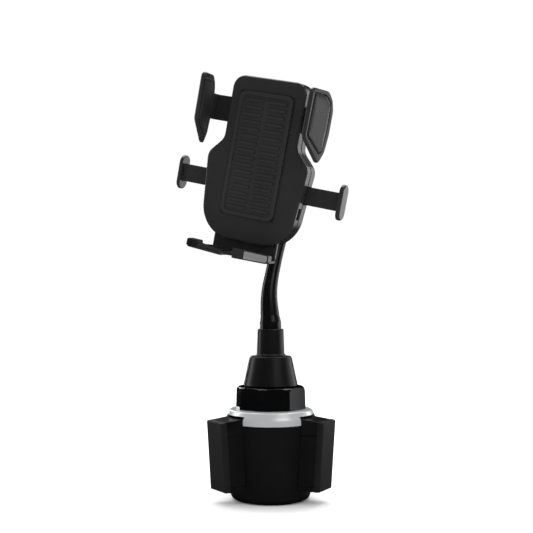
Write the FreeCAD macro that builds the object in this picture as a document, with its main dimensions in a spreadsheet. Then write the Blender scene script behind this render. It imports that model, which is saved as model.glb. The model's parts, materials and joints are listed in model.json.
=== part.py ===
"""Car phone mount: an expanding cup base, a bendable neck and a cradle with squeeze-to-open arms.

Millimetres. Z is up, the origin is the centre of the base's underside, and the phone faces towards -Y.
The cradle's own frame has x to its right, y up its face and z out of its face, towards the phone.
"""
import FreeCAD, Part
import math
import os
import re

import Sketcher
from FreeCAD import Placement, Rotation, Vector

SIZES = {
    # cup that stands in the cup holder
    "wall": 2.2,
    "cup_foot_radius": 29.1,
    "cup_rim_radius": 32.8,
    "cup_rim_top": 55.8,
    "cup_foot_round": 4.8,
    "cover_radius": 23.4,
    "floor_bottom": 5.0,
    "floor_top": 7.5,
    # silver ring between the cup and the knob
    "ring_radius": 33.2,
    "ring_skirt_top": 59.6,
    "ring_cone_radius": 30.7,
    "ring_cone_top": 64.8,
    "ring_shoulder_radius": 28.8,
    "ring_top": 65.7,
    "ring_opening": 24.0,
    # three fins that slide outwards to grip the cup holder
    "fin_width": 23.3,
    "fin_gap": 0.2,
    "fin_top_reach": 48.0,
    "fin_foot_reach": 44.5,
    "fin_bottom": 9.6,
    "fin_outer_top": 58.5,
    "fin_inner_top": 61.6,
    "fin_inner_reach": 22.0,
    "fin_pad_depth": 4.5,
    "fin_travel": 14.5,
    "fin_pin_reach": 25.5,
    "pin_radius": 1.5,
    # scroll disc and knob that drive the fins
    "scroll_turn": 150.0,
    "scroll_radius": 28.0,
    "scroll_bottom": 62.0,
    "scroll_top": 63.9,
    "slot_radius": 1.62,
    "knob_bottom": 65.9,
    "knob_top": 82.0,
    "knob_corner_radius": 26.4,
    "knob_draft": 1.7,
    "knob_spigot_radius": 23.4,
    # neck foot
    "spindle_radius": 5.95,
    "running_gap": 0.05,
    "cone_bottom": 82.5,
    "cone_bottom_radius": 20.2,
    "cone_rim": 102.4,
    "cone_rim_radius": 15.8,
    "cone_top": 104.0,
    "collar_radius": 10.2,
    "collar_top": 124.0,
    "collar_top_radius": 9.6,
    "anchor_radius": 4.4,
    # bendable neck
    "sleeve_foot_radius": 7.85,
    "sleeve_radius": 5.25,
    "sleeve_bore": 4.5,
    "neck_rod_radius": 1.8,
    "neck_ball_radius": 2.9,
    "neck_socket_radius": 4.15,
    # ball joint behind the cradle
    "ball_radius": 8.0,
    "ball_depth": 30.0,
    "stud_radius": 3.5,
    "stud_length": 20.0,
    "seat_radius": 10.95,
    "socket_radius": 13.0,
    "socket_end": 33.0,
    "nut_radius": 16.5,
    # cradle housing
    "cradle_half_height": 57.5,
    "cradle_foot_half_width": 34.4,
    "cradle_half_width": 39.6,
    "cradle_waist": 28.5,
    "flare_low": 0.5,
    "flare_high": 12.0,
    "low_corner": 24.0,
    "top_corner": 9.0,
    "cradle_depth": 20.0,
    "cradle_wall": 2.0,
    "split_depth": 10.0,
    "front_depth": 1.5,
    "seam_height": 1.2,
    "seam_inset": 0.9,
    "slot_gap": 0.3,
    "boss_radius": 3.4,
    "screw_radius": 1.5,
    "screw_recess_radius": 3.0,
    "screw_recess": 3.0,
    "face_half_width": 20.9,
    "face_low": -39.9,
    "face_high": 46.9,
    "face_seat": 0.8,
    "groove_half_width": 16.0,
    "groove_low": -34.0,
    "groove_width": 1.6,
    "groove_depth": 0.7,
    # clamp mechanism inside the cradle
    "tooth_module": 1.0,
    "pinion_teeth": 14,
    "post_radius": 2.5,
    "band_low": 24.0,
    "band_high": 42.0,
    "lever_height": -17.5,
    "lever_half_tall": 6.35,
    "lever_reach": 63.7,
    # arms and foot
    "arm_thickness": 3.0,
    "arm_lean": 11.3,
    "arm_back_reach": 48.6,
    "arm_recess": 0.8,
    "arm_panel_back": 0.35,
    "arm_panel_thickness": 0.45,
    "arm_pad_thickness": 1.4,
    "arm_root_depth": 1.0,
    "head_half_tall": 12.3,
    "head_corner": 5.4,
    "head_back": -19.5,
    "head_front": -8.5,
    "tongue_half_width": 25.0,
    "tongue_back": -9.0,
    "tongue_front": -6.5,
    "tongue_top": -30.0,
    "shelf_thickness": 3.0,
    "toe_inner": 13.0,
    "toe_thickness": 5.5,
    "lip_inner": 4.0,
    "lip_height": 1.3,
    "lip_thickness": 3.5,
    "grip_margin": 1.0,
    "grip_gap": 0.05,
    "foot_half_width": 32.0,
    "foot_reach": 19.5,
    "foot_shelf": -64.5,
    "foot_toe_top": -60.5,
}
FIN_ANGLES = {"back": 92.0, "left": 212.0, "right": 332.0}
KNOB_CORNER_ANGLE = 31.5
NECK_POINTS = [
    Vector(0.0, 0.0, 124.0),
    Vector(-1.2, 0.8, 145.0),
    Vector(1.1, 4.0, 164.0),
    Vector(5.2, 9.0, 184.0),
    Vector(13.0, 16.0, 207.0),
    Vector(19.5, 20.5, 230.0),
]
HINGE_STATIONS = [24.0, 45.0, 66.0, 87.0]
CRADLE_ORIGIN = Vector(-10.8, -46.7, 241.9)
CRADLE_YAW = 25.25
CRADLE_PITCH = 3.17
CRADLE_ROLL = -12.83
PRESSURE_ANGLE = math.radians(20.0)

doc = FreeCAD.newDocument("CarPhoneMount")
sheet = doc.addObject("Spreadsheet::Sheet", "Size")
for row, (alias, amount_in_cell) in enumerate(SIZES.items(), start=1):
    sheet.set(f"A{row}", alias)
    sheet.set(f"B{row}", str(amount_in_cell))
    sheet.setAlias(f"B{row}", alias)
doc.recompute()

WORD = re.compile(r"(?<![\w.])([a-z][a-z_0-9]*)(?!\w*\()")
pieces = []


# ---------------------------------------------------------------- helpers
def bound(text):
    """An expression in which every plain word is a cell of the sheet."""
    return WORD.sub(r"Size.\1", text)


def amount(text):
    """The number that an expression gives now."""
    return float(sheet.evalExpression(bound(text)))


def piece(thing, label):
    """Names a finished sub-part, which is written to its own file."""
    thing.Label = label
    pieces.append(thing)
    return thing


def new_body(label, placement=None):
    body = doc.addObject("PartDesign::Body", label)
    if placement is not None:
        body.Placement = placement
    return body


def new_sketch(body, role, lift="0"):
    """A sketch on one of the body's own origin planes, lifted along the plane's normal."""
    plane = next(f for f in body.Origin.OriginFeatures if f.Role == role)
    sketch = body.newObject("Sketcher::SketchObject", body.Name + "_sketch")
    sketch.AttachmentSupport = [(plane, "")]
    sketch.MapMode = "FlatFace"
    sketch.setExpression("AttachmentOffset.Base.z", bound(lift))
    return sketch


def fix_point(sketch, geometry, end, x, y):
    for kind, text in (("DistanceX", x), ("DistanceY", y)):
        rule = Sketcher.Constraint(kind, -1, 1, geometry, end, amount(text))
        index = sketch.addConstraint(rule)
        name = f"{kind}_{geometry}"
        sketch.renameConstraint(index, name)
        sketch.setExpression("Constraints." + name, bound(text))


def outline(sketch, points):
    """A closed polygon whose corners are pairs of expressions."""
    corners = [Vector(amount(x), amount(y), 0) for x, y in points]
    first = sketch.GeometryCount
    for here, there in zip(corners, corners[1:] + corners[:1]):
        sketch.addGeometry(Part.LineSegment(here, there))
    for i, (x, y) in enumerate(points):
        after = first + (i + 1) % len(points)
        sketch.addConstraint(Sketcher.Constraint("Coincident", first + i, 2, after, 1))
        fix_point(sketch, first + i, 1, x, y)
    return sketch


def circle(sketch, x, y, radius):
    middle = Vector(amount(x), amount(y), 0)
    index = sketch.addGeometry(Part.Circle(middle, Vector(0, 0, 1), amount(radius)))
    fix_point(sketch, index, 3, x, y)
    rule = sketch.addConstraint(Sketcher.Constraint("Radius", index, amount(radius)))
    sketch.renameConstraint(rule, f"Radius_{index}")
    sketch.setExpression(f"Constraints.Radius_{index}", bound(radius))
    return sketch


def box_points(low_x, high_x, low_y, high_y):
    return [(low_x, low_y), (high_x, low_y), (high_x, high_y), (low_x, high_y)]


def revolve(body, points, cut=False):
    """Turns a profile of (radius, height) corners about the body's Z axis."""
    sketch = outline(new_sketch(body, "XZ_Plane"), points)
    kind = "PartDesign::Groove" if cut else "PartDesign::Revolution"
    turned = body.newObject(kind, body.Name + "_turned")
    turned.Profile = sketch
    turned.ReferenceAxis = (sketch, ["V_Axis"])
    turned.Angle = 360
    doc.recompute()
    return turned


def turned_piece(label, points, placement=None):
    body = new_body(label, placement)
    revolve(body, points)
    return piece(body, label)


def pad(body, sketch, length, backwards=False):
    feature = body.newObject("PartDesign::Pad", body.Name + "_pad")
    feature.Profile = sketch
    feature.Reversed = backwards
    feature.setExpression("Length", bound(length))
    doc.recompute()
    return feature


def pocket(body, sketch, length, along_normal=True):
    """Cuts a sketch into the body, and stops if nothing was cut."""
    before = body.Shape.Volume
    feature = body.newObject("PartDesign::Pocket", body.Name + "_pocket")
    feature.Profile = sketch
    feature.Reversed = along_normal
    feature.setExpression("Length", bound(length))
    doc.recompute()
    if body.Shape.Volume > before - 0.01:
        raise RuntimeError(f"{feature.Label} cuts nothing")
    return feature


def around(body, feature, count):
    pattern = body.newObject("PartDesign::PolarPattern", body.Name + "_pattern")
    pattern.Originals = [feature]
    axis = next(f for f in body.Origin.OriginFeatures if f.Role == "Z_Axis")
    pattern.Axis = (axis, [""])
    pattern.Angle = 360
    pattern.Occurrences = count
    body.Tip = pattern
    doc.recompute()
    return pattern


def round_edges(body, radius, wanted):
    """Rounds the edges of the tip's shape that the test accepts."""
    tip = body.Tip
    names = [f"Edge{i}" for i, edge in enumerate(tip.Shape.Edges, start=1) if wanted(edge)]
    if not names:
        raise RuntimeError(f"no edge of {body.Label} fits the test")
    rounding = body.newObject("PartDesign::Fillet", body.Name + "_round")
    rounding.Base = (tip, names)
    rounding.setExpression("Radius", bound(radius))
    body.Tip = rounding
    doc.recompute()
    return rounding


def middle_of(edge):
    return edge.valueAt((edge.FirstParameter + edge.LastParameter) / 2)


def upright(*places, tolerance=0.3):
    """A test for edges parallel to Z through the given (x, y) places."""

    def wanted(edge):
        box = edge.BoundBox
        if box.XLength > 0.01 or box.YLength > 0.01:
            return False
        return any(math.hypot(box.XMin - x, box.YMin - y) < tolerance for x, y in places)

    return wanted


def level(height, tolerance=0.05):
    """A test for edges that lie in the plane z = height."""
    return lambda edge: max(abs(edge.BoundBox.ZMin - height), abs(edge.BoundBox.ZMax - height)) < tolerance


def shape_piece(label, shape, placement=None):
    feature = doc.addObject("Part::Feature", label)
    feature.Shape = shape
    if placement is not None:
        feature.Placement = placement.multiply(shape.Placement)
    return piece(feature, label)


# ---------------------------------------------------------------- base
def make_cup():
    """Tapered cup with a floor and three tall slots, open at the rim for the fins."""
    body = new_body("cup_body", Placement(Vector(), Rotation(Vector(0, 0, 1), FIN_ANGLES["back"])))
    revolve(body, [
        ("cover_radius", "0"),
        ("cup_foot_radius", "0"),
        ("cup_rim_radius", "cup_rim_top"),
        ("cup_rim_radius - wall", "cup_rim_top"),
        ("cup_foot_radius - wall + 0.5", "floor_top"),
        ("spindle_radius + running_gap", "floor_top"),
        ("spindle_radius + running_gap", "floor_bottom"),
        ("cover_radius", "floor_bottom"),
    ])
    foot = amount("cup_foot_radius")
    round_edges(body, "cup_foot_round", lambda e: level(0)(e) and abs(e.BoundBox.XMax - foot) < 0.1)
    half = "fin_width / 2 + fin_gap"
    sketch = new_sketch(body, "XY_Plane", "fin_bottom - fin_gap")
    outline(sketch, box_points("15", "60", f"-({half})", half))
    slot = pocket(body, sketch, "cup_rim_top")
    around(body, slot, len(FIN_ANGLES))
    return piece(body, "cup_body")


def make_trim_ring():
    """Silver ring with a steep shoulder, notched where the fins pass."""
    body = new_body("trim_ring", Placement(Vector(), Rotation(Vector(0, 0, 1), FIN_ANGLES["back"])))
    revolve(body, [
        ("ring_radius", "cup_rim_top"),
        ("ring_radius", "ring_skirt_top"),
        ("ring_cone_radius", "ring_cone_top"),
        ("ring_shoulder_radius", "ring_top"),
        ("ring_opening", "ring_top"),
        ("ring_opening", "ring_top - 1.2"),
        ("ring_shoulder_radius - 0.4", "ring_top - 1.2"),
        ("ring_radius - 1.6", "ring_skirt_top"),
        ("ring_radius - 1.6", "cup_rim_top"),
    ])
    half = "fin_width / 2 + fin_gap"
    sketch = new_sketch(body, "YZ_Plane", "ring_opening - 2")
    outline(sketch, [
        (f"-({half})", "cup_rim_top - 1"),
        (half, "cup_rim_top - 1"),
        (half, "fin_inner_top - 2"),
        (f"{half} - 0.8", "fin_inner_top - 0.4"),
        (f"{half} - 2.4", "fin_inner_top + 0.4"),
        (f"2.4 - ({half})", "fin_inner_top + 0.4"),
        (f"0.8 - ({half})", "fin_inner_top - 0.4"),
        (f"-({half})", "fin_inner_top - 2"),
    ])
    notch = pocket(body, sketch, "20")
    around(body, notch, len(FIN_ANGLES))
    return piece(body, "trim_ring")


def fin_top_at(reach):
    """Height of the fin's sloping top, as an expression of the distance from the base's axis."""
    slope = "(fin_inner_top - fin_outer_top) / (fin_top_reach - fin_inner_reach)"
    return f"fin_inner_top - ({reach} - fin_inner_reach) * {slope}"


def make_fin(side):
    """One fin: a hollow carrier with a drive pin on top, and its soft outer pad."""
    placement = Placement(Vector(), Rotation(Vector(0, 0, 1), FIN_ANGLES[side]))
    carrier = new_body("fin_carrier_" + side, placement)
    top_reach = "fin_top_reach - fin_pad_depth"
    foot_reach = "fin_foot_reach - fin_pad_depth"
    half = "(fin_width / 2 - 0.35)"
    sketch = new_sketch(carrier, "XZ_Plane", f"-{half}")
    outline(sketch, [
        ("fin_inner_reach", "fin_bottom"),
        (foot_reach, "fin_bottom"),
        (top_reach, fin_top_at(f"({top_reach})")),
        ("fin_inner_reach", "fin_inner_top"),
    ])
    pad(carrier, sketch, f"2 * {half}")
    hollow = f"({half} - wall)"
    sketch = new_sketch(carrier, "XZ_Plane", f"-{hollow}")
    outline(sketch, [
        ("fin_inner_reach - 1", "fin_bottom + wall"),
        (f"{foot_reach} - wall", "fin_bottom + wall"),
        (f"{top_reach} - wall", "fin_outer_top - wall"),
        ("fin_inner_reach - 1", "fin_outer_top - wall"),
    ])
    pocket(carrier, sketch, f"2 * {hollow}")
    sketch = circle(new_sketch(carrier, "XY_Plane", "fin_outer_top"), "fin_pin_reach", "0", "pin_radius")
    pad(carrier, sketch, "scroll_top - 0.2 - fin_outer_top")
    piece(carrier, "fin_carrier_" + side)

    grip = new_body("fin_pad_" + side, placement)
    half = "(fin_width / 2)"
    sketch = new_sketch(grip, "XZ_Plane", f"-{half}")
    outline(sketch, [
        (foot_reach, "fin_bottom"),
        ("fin_foot_reach", "fin_bottom"),
        ("fin_top_reach", "fin_outer_top"),
        (top_reach, fin_top_at(f"({top_reach})")),
    ])
    pad(grip, sketch, f"2 * {half}")
    inner = amount(foot_reach) + 2

    def outer_side_edge(edge):
        box = edge.BoundBox
        return box.ZLength > 20 and middle_of(edge).x > inner

    round_edges(grip, "fin_pad_depth - 1.4", outer_side_edge)
    return piece(grip, "fin_pad_" + side)


def make_scroll_disc():
    """Disc with one spiral slot per fin: a turn of the disc draws every pin inwards."""
    low, high = amount("scroll_bottom"), amount("scroll_top")
    start, travel = amount("fin_pin_reach"), amount("fin_travel")
    turn = math.radians(amount("scroll_turn"))
    half = amount("slot_radius")
    bore = amount("spindle_radius + running_gap")
    disc = Part.makeCylinder(amount("scroll_radius"), high - low, Vector(0, 0, low))
    disc = disc.cut(Part.makeCylinder(bore, high, Vector()))
    steps = 16

    def spiral(offset):
        points = []
        for step in range(steps + 1):
            back = turn * step / steps
            reach = start - travel * step / steps
            radial = Vector(math.cos(-back), math.sin(-back), 0)
            tangent = Vector(radial.y, -radial.x, 0)
            along = (tangent * reach - radial * (travel / turn)).normalize()
            points.append(radial * reach + Vector(-along.y, along.x, 0) * offset)
        return points

    outer, inner = spiral(half), spiral(-half)
    edges = []
    for points in (outer, inner[::-1]):
        curve = Part.BSplineCurve()
        curve.interpolate(points)
        edges.append(curve.toShape())
    edges.append(Part.LineSegment(outer[-1], inner[-1]).toShape())
    edges.append(Part.LineSegment(inner[0], outer[0]).toShape())
    wire = Part.Wire(Part.__sortEdges__(edges))
    slot = Part.Face(wire).extrude(Vector(0, 0, high - low + 2))
    slot.translate(Vector(0, 0, low - 1))
    for centre in (spiral(0)[0], spiral(0)[-1]):
        end = Part.makeCylinder(half, high - low + 2, centre + Vector(0, 0, low - 1))
        slot = slot.fuse(end)
    for angle in FIN_ANGLES.values():
        turned = slot.copy()
        turned.rotate(Vector(), Vector(0, 0, 1), angle)
        disc = disc.cut(turned)
    return shape_piece("scroll_disc", disc)


def make_knob():
    """Eight-sided knob with slightly drafted flats and a bevelled, rounded top."""
    body = new_body("adjust_knob", Placement(Vector(), Rotation(Vector(0, 0, 1), KNOB_CORNER_ANGLE)))
    sketch = new_sketch(body, "XY_Plane", "knob_bottom")
    flats = 8
    turns = [step * 360 / flats for step in range(flats)]
    outline(sketch, [(f"knob_corner_radius * cos({turn})", f"knob_corner_radius * sin({turn})") for turn in turns])
    block = pad(body, sketch, "knob_top - knob_bottom")
    block.setExpression("TaperAngle", bound("-knob_draft"))
    doc.recompute()
    revolve(body, [
        ("knob_corner_radius - 3.1", "knob_top + 1"),
        ("knob_corner_radius - 3.1", "knob_top"),
        ("knob_corner_radius - 1.5", "knob_top - 0.9"),
        ("knob_corner_radius + 0.2", "knob_top - 3.6"),
        ("knob_corner_radius + 6", "knob_top - 3.6"),
        ("knob_corner_radius + 6", "knob_top + 1"),
    ], cut=True)
    sketch = new_sketch(body, "XY_Plane", "scroll_top")
    circle(sketch, "0", "0", "knob_spigot_radius")
    pad(body, sketch, "knob_bottom - scroll_top + 0.01")
    hollow = new_sketch(body, "XY_Plane", "scroll_top")
    circle(hollow, "0", "0", "knob_spigot_radius - 2.5")
    pocket(body, hollow, "knob_top - scroll_top - 3")
    hub = new_sketch(body, "XY_Plane", "scroll_top")
    circle(hub, "0", "0", "spindle_radius + 3")
    pad(body, hub, "knob_top - scroll_top - 2")
    bore = circle(new_sketch(body, "XY_Plane", "scroll_top"), "0", "0", "spindle_radius + running_gap")
    pocket(body, bore, "knob_top")
    return piece(body, "adjust_knob")


def make_base_internals():
    """Cover, rubber foot, spindle, washer, nut and screws of the base."""
    turned_piece("foot_pad", [
        ("0", "0"), ("cover_radius - 1.4", "0"), ("cover_radius - 1.4", "1.6"), ("0", "1.6"),
    ])
    turned_piece("base_cover", [
        ("0", "1.6"), ("cover_radius", "1.6"), ("cover_radius", "3"), ("0", "3"),
    ])
    turned_piece("spindle", [
        ("2", "3.2"), ("15", "3.2"), ("15", "floor_bottom"),
        ("spindle_radius", "floor_bottom"), ("spindle_radius", "cone_bottom"),
        ("spindle_radius - 1", "cone_bottom"), ("spindle_radius - 1", "cone_bottom + 11"),
        ("2", "cone_bottom + 11"),
    ])
    turned_piece("thrust_washer", [
        ("spindle_radius + 0.1", "knob_top"), ("spindle_radius + 7", "knob_top"),
        ("spindle_radius + 7", "cone_bottom"), ("spindle_radius + 0.1", "cone_bottom"),
    ])
    nut = new_body("spindle_nut")
    sketch = new_sketch(nut, "XY_Plane", "cone_bottom + 5")
    sides = 6
    outline(sketch, [
        (f"9 * cos({step * 360 / sides})", f"9 * sin({step * 360 / sides})") for step in range(sides)
    ])
    circle(sketch, "0", "0", "spindle_radius - 1 + running_gap")
    pad(nut, sketch, "4.5")
    piece(nut, "spindle_nut")


def make_neck_foot():
    turned_piece("neck_cone", [
        ("spindle_radius - 0.95", "cone_bottom"),
        ("cone_bottom_radius", "cone_bottom"),
        ("cone_rim_radius", "cone_rim"),
        ("cone_rim_radius - 0.9", "cone_top"),
        ("anchor_radius + 0.1", "cone_top"),
        ("anchor_radius + 0.1", "cone_top - 2.6"),
        ("cone_rim_radius - 2.6", "cone_top - 2.6"),
        ("cone_bottom_radius - 3.6", "cone_bottom + 5"),
        ("spindle_radius - 0.95", "cone_bottom + 5"),
    ])
    turned_piece("neck_collar", [
        ("anchor_radius + 0.1", "cone_top"),
        ("collar_radius + 1.2", "cone_top"),
        ("collar_radius + 0.9", "cone_top + 0.9"),
        ("collar_radius", "cone_top + 1.8"),
        ("collar_top_radius", "collar_top - 0.5"),
        ("collar_top_radius - 0.5", "collar_top"),
        ("anchor_radius + 0.1", "collar_top"),
    ])


# ---------------------------------------------------------------- frames of the upper parts
def cradle_rotation():
    """Columns: the cradle's right, up and outward directions."""
    yaw = Rotation(Vector(0, 0, 1), -CRADLE_YAW)
    upright_frame = Rotation(Vector(1, 0, 0), Vector(0, 0, 1), Vector(0, -1, 0), "XZY")
    lean = Rotation(Vector(1, 0, 0), CRADLE_PITCH)
    roll = Rotation(Vector(0, 0, 1), CRADLE_ROLL)
    return yaw.multiply(upright_frame).multiply(lean).multiply(roll)


CRADLE = Placement(CRADLE_ORIGIN, cradle_rotation())
OUTWARD = CRADLE.Rotation.multVec(Vector(0, 0, 1))
BALL_CENTRE = CRADLE.multVec(Vector(0, 0, -amount("ball_depth")))
BALL = Placement(BALL_CENTRE, CRADLE.Rotation)
FERRULE_LENGTH = 10.0
NECK_END = BALL_CENTRE - OUTWARD * (amount("stud_length") + FERRULE_LENGTH)


def neck_line():
    curve = Part.BSplineCurve()
    curve.interpolate(
        Points=NECK_POINTS + [NECK_END],
        InitialTangent=Vector(0, 0, 1),
        FinalTangent=OUTWARD,
    )
    return curve


NECK_LINE = neck_line()
NECK_LENGTH = NECK_LINE.length()


def neck_frame(distance):
    """Point and direction of the neck's centre line at a distance along it."""
    parameter = NECK_LINE.parameterAtDistance(distance, NECK_LINE.FirstParameter)
    direction = Vector(NECK_LINE.tangent(parameter)[0])
    return NECK_LINE.value(parameter), direction.normalize()


def sleeve_radius_at(distance):
    """The sleeve is a straight boot at the collar, then tapers to an even thickness."""
    foot, plain = amount("sleeve_foot_radius"), amount("sleeve_radius")
    boot_end, taper_end = 5.0, 42.0
    along = min(max((distance - boot_end) / (taper_end - boot_end), 0), 1)
    return plain + (foot - 0.5 * min(along * 8, 1) - plain) * (1 - along) ** 1.3


def along_neck(start, end, radius_at):
    """A solid of round sections that follows the neck's centre line."""
    count = max(3, int((end - start) / 5) + 1)
    wires = []
    for step in range(count):
        distance = start + (end - start) * step / (count - 1)
        point, direction = neck_frame(distance)
        wires.append(Part.Wire(Part.makeCircle(radius_at(distance), point, direction)))
    return Part.makeLoft(wires, True)


def make_neck():
    """Core links joined ball in socket, each with its own stretch of rubber sleeve."""
    rod = amount("neck_rod_radius")
    ball = amount("neck_ball_radius")
    bore = amount("sleeve_bore")
    socket_radius = amount("neck_socket_radius")
    stations = [0.0] + HINGE_STATIONS + [NECK_LENGTH]
    sleeve_gap = 1.5
    for index in range(len(stations) - 1):
        start, end = stations[index], stations[index + 1]
        last = index == len(stations) - 2
        if index == 0:
            core = make_anchor()
            rod_start = 3.0
        else:
            point, direction = neck_frame(start)
            core = Part.makeCylinder(socket_radius, 4.6, point - direction, direction)
            core = core.cut(Part.makeSphere(ball + amount("running_gap"), point))
            rod_start = start + 3.3
        core = core.fuse(along_neck(rod_start, end, lambda distance: rod))
        if not last:
            core = core.fuse(Part.makeSphere(ball, neck_frame(end)[0]))
        shape_piece(f"neck_core_{index}", core.removeSplitter())
        sleeve_start = start + (sleeve_gap if index else 0)
        sleeve_end = end - (0 if last else sleeve_gap)
        outer = along_neck(sleeve_start, sleeve_end, sleeve_radius_at)
        inner = along_neck(sleeve_start - 0.4, sleeve_end + 0.4, lambda distance: bore)
        shape_piece(f"neck_sleeve_{index}", outer.cut(inner))


def make_anchor():
    """Steel end of the neck's core, held under the cone's top and standing up through the collar."""
    radius = amount("anchor_radius")
    shank = Part.makeCylinder(radius, 32, Vector(0, 0, amount("cone_top") - 8.5))
    flange = Part.makeCylinder(radius + 4, 3, Vector(0, 0, amount("cone_top") - 5.6))
    return shank.fuse(flange)


# ---------------------------------------------------------------- ball joint
def make_ball_joint():
    stud = [
        ("0", "7"), ("0", "-stud_length - 3"), ("sleeve_radius - 0.8", "-stud_length - 3"),
        ("sleeve_radius - 0.8", "-stud_length"), ("sleeve_radius + 0.6", "-stud_length"),
        ("sleeve_radius + 0.2", "-stud_length + 3"), ("stud_radius", "-stud_length + 4"),
        ("stud_radius", "7"),
    ]
    turned_piece("ball_stud", stud, BALL)
    turned_piece("end_ferrule", [
        ("sleeve_radius + 0.05", "-stud_length"), ("sleeve_radius + 1.1", "-stud_length"),
        ("sleeve_radius + 1.1", "-stud_length - 8"), ("sleeve_radius + 0.6", "-stud_length - 9"),
        ("sleeve_radius + 0.05", "-stud_length - 9"),
    ], BALL)
    ball = Part.makeSphere(amount("ball_radius"))
    bore = Part.makeCylinder(amount("stud_radius + running_gap"), 30, Vector(0, 0, -15))
    shape_piece("pivot_ball", ball.cut(bore), BALL)
    seat_low, seat_high = amount("ball_depth - socket_end"), amount("ball_depth - cradle_depth") - 0.2
    seat = Part.makeCylinder(amount("seat_radius"), seat_high - seat_low, Vector(0, 0, seat_low))
    cavity = Part.makeSphere(amount("ball_radius + running_gap"))
    shape_piece("ball_seat", seat.cut(cavity), BALL)

    nut = new_body("lock_nut", BALL)
    revolve(nut, [
        ("socket_radius + running_gap", "ball_depth - cradle_depth - 3"),
        ("nut_radius", "ball_depth - cradle_depth - 3"),
        ("nut_radius", "-5"),
        ("nut_radius - 3", "-7"),
        ("6.7", "-7"),
        ("7.7", "-3.3"),
        ("socket_radius + running_gap", "-3.3"),
    ])
    sketch = new_sketch(nut, "XY_Plane", "-8")
    circle(sketch, "nut_radius + 1.6", "0", "2.4")
    scallop = pocket(nut, sketch, "30")
    around(nut, scallop, 12)
    piece(nut, "lock_nut")


# ---------------------------------------------------------------- cradle housing
SCREW_PLACES = [("18", "50"), ("-18", "50"), ("28.8", "-33"), ("-28.8", "-33")]


def housing_corners(inset):
    """Right-hand corners, from the foot up: the sides spread, then flare in to the waist."""
    foot, wide = f"cradle_foot_half_width - {inset}", f"cradle_half_width - {inset}"
    waist, tall = f"cradle_waist - {inset}", f"cradle_half_height - {inset}"
    return [(foot, f"-({tall})"), (wide, "flare_low"), (waist, "flare_high"), (waist, tall)]


def housing_points(inset):
    right = housing_corners(inset)
    left = [(f"-({x})", y) for x, y in reversed(right)]
    return right + left


def round_housing(body, inset):
    """Rounds every corner of the outline at an inset, about the centres that the outer corners have."""
    corners = housing_corners(inset)
    convex = f"top_corner - {inset}"
    radii = [f"low_corner - {inset}", convex, f"top_corner + {inset}", convex]
    for (x, y), radius in zip(corners, radii):
        right = (amount(x), amount(y))
        round_edges(body, radius, upright(right, (-right[0], right[1])))


def on_plane(body, lift, points):
    return outline(new_sketch(body, "XY_Plane", lift), points)


def disc_on(body, lift, place, radius):
    return circle(new_sketch(body, "XY_Plane", lift), *place, radius)


def side_slot(body, side, low, high, bottom, top):
    """Opening through one side wall for a moving bar."""
    inner, outer = ("22", "45") if side > 0 else ("-45", "-22")
    slot = on_plane(body, low, box_points(inner, outer, f"{bottom} - slot_gap", f"{top} + slot_gap"))
    pocket(body, slot, f"({high}) - ({low})")


def make_back_shell():
    """Rear half of the housing, with the screw bosses, the pinion's post and the ball's socket."""
    body = new_body("back_shell", CRADLE)
    pad(body, on_plane(body, "-cradle_depth", housing_points("0")), "split_depth")
    pocket(body, on_plane(body, "cradle_wall - cradle_depth", housing_points("cradle_wall")), "split_depth")
    for inset in ("cradle_wall", "0"):
        round_housing(body, inset)
    round_edges(body, "4.5", level(-amount("cradle_depth")))
    inside, outside = "-cradle_depth + 1", "-cradle_depth - 1"
    for place in SCREW_PLACES:
        pad(body, disc_on(body, inside, place, "boss_radius"), "split_depth - 1")
    middle = ("0", "0")
    pad(body, disc_on(body, inside, middle, "post_radius"), "12.4")
    pad(body, disc_on(body, "-socket_end", middle, "socket_radius"), "socket_end - cradle_depth + 1")
    bore = disc_on(body, "-socket_end - 1", middle, "seat_radius + running_gap")
    pocket(body, bore, "socket_end - cradle_depth + 1")
    for place in SCREW_PLACES:
        pocket(body, disc_on(body, outside, place, "screw_radius + 0.1"), "cradle_depth")
        pocket(body, disc_on(body, outside, place, "screw_recess_radius"), "screw_recess")
    lever_low, lever_high = "lever_height - lever_half_tall", "lever_height + lever_half_tall"
    for side in (1, -1):
        side_slot(body, side, "-16.3", "-9", lever_low, lever_high)
    side_slot(body, -1, "-13.9", "-9", "band_low", "band_high")
    return piece(body, "back_shell")


def make_front_shell():
    """Front half of the housing, set in a little where it meets the rear half, so that a seam shows."""
    body = new_body("front_shell", CRADLE)
    bottom = "-split_depth"
    pad(body, on_plane(body, bottom, housing_points("seam_inset")), "split_depth - front_depth - 1")
    raised = "split_depth - front_depth - seam_height"
    pad(body, on_plane(body, "seam_height - split_depth", housing_points("0")), raised)
    cavity = on_plane(body, bottom, housing_points("cradle_wall"))
    pocket(body, cavity, "split_depth - front_depth - cradle_wall")
    for inset in ("cradle_wall", "seam_inset", "0"):
        round_housing(body, inset)
    round_edges(body, "1.8", level(-amount("front_depth")))
    for place in SCREW_PLACES:
        pad(body, disc_on(body, bottom, place, "boss_radius"), "split_depth - front_depth - 1")
        pocket(body, disc_on(body, "-split_depth - 1", place, "screw_radius"), "split_depth - 2")
    side_slot(body, 1, "-6.3", "-4.2", "band_low", "band_high")
    half = "tongue_half_width + slot_gap"
    tongue_way = on_plane(body, "tongue_back - 0.2", box_points(f"-({half})", half, "-60", "-48"))
    pocket(body, tongue_way, "tongue_front - tongue_back + 0.4")
    pocket(body, on_plane(body, "-8.5", box_points("33", "42", "-35", "-27")), "4")
    edge = "face_half_width + 0.1"
    seat = box_points(f"-({edge})", edge, "face_low - 0.1", "face_high + 0.1")
    pocket(body, on_plane(body, "-front_depth - face_seat", seat), "3")
    return piece(body, "front_shell")


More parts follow.
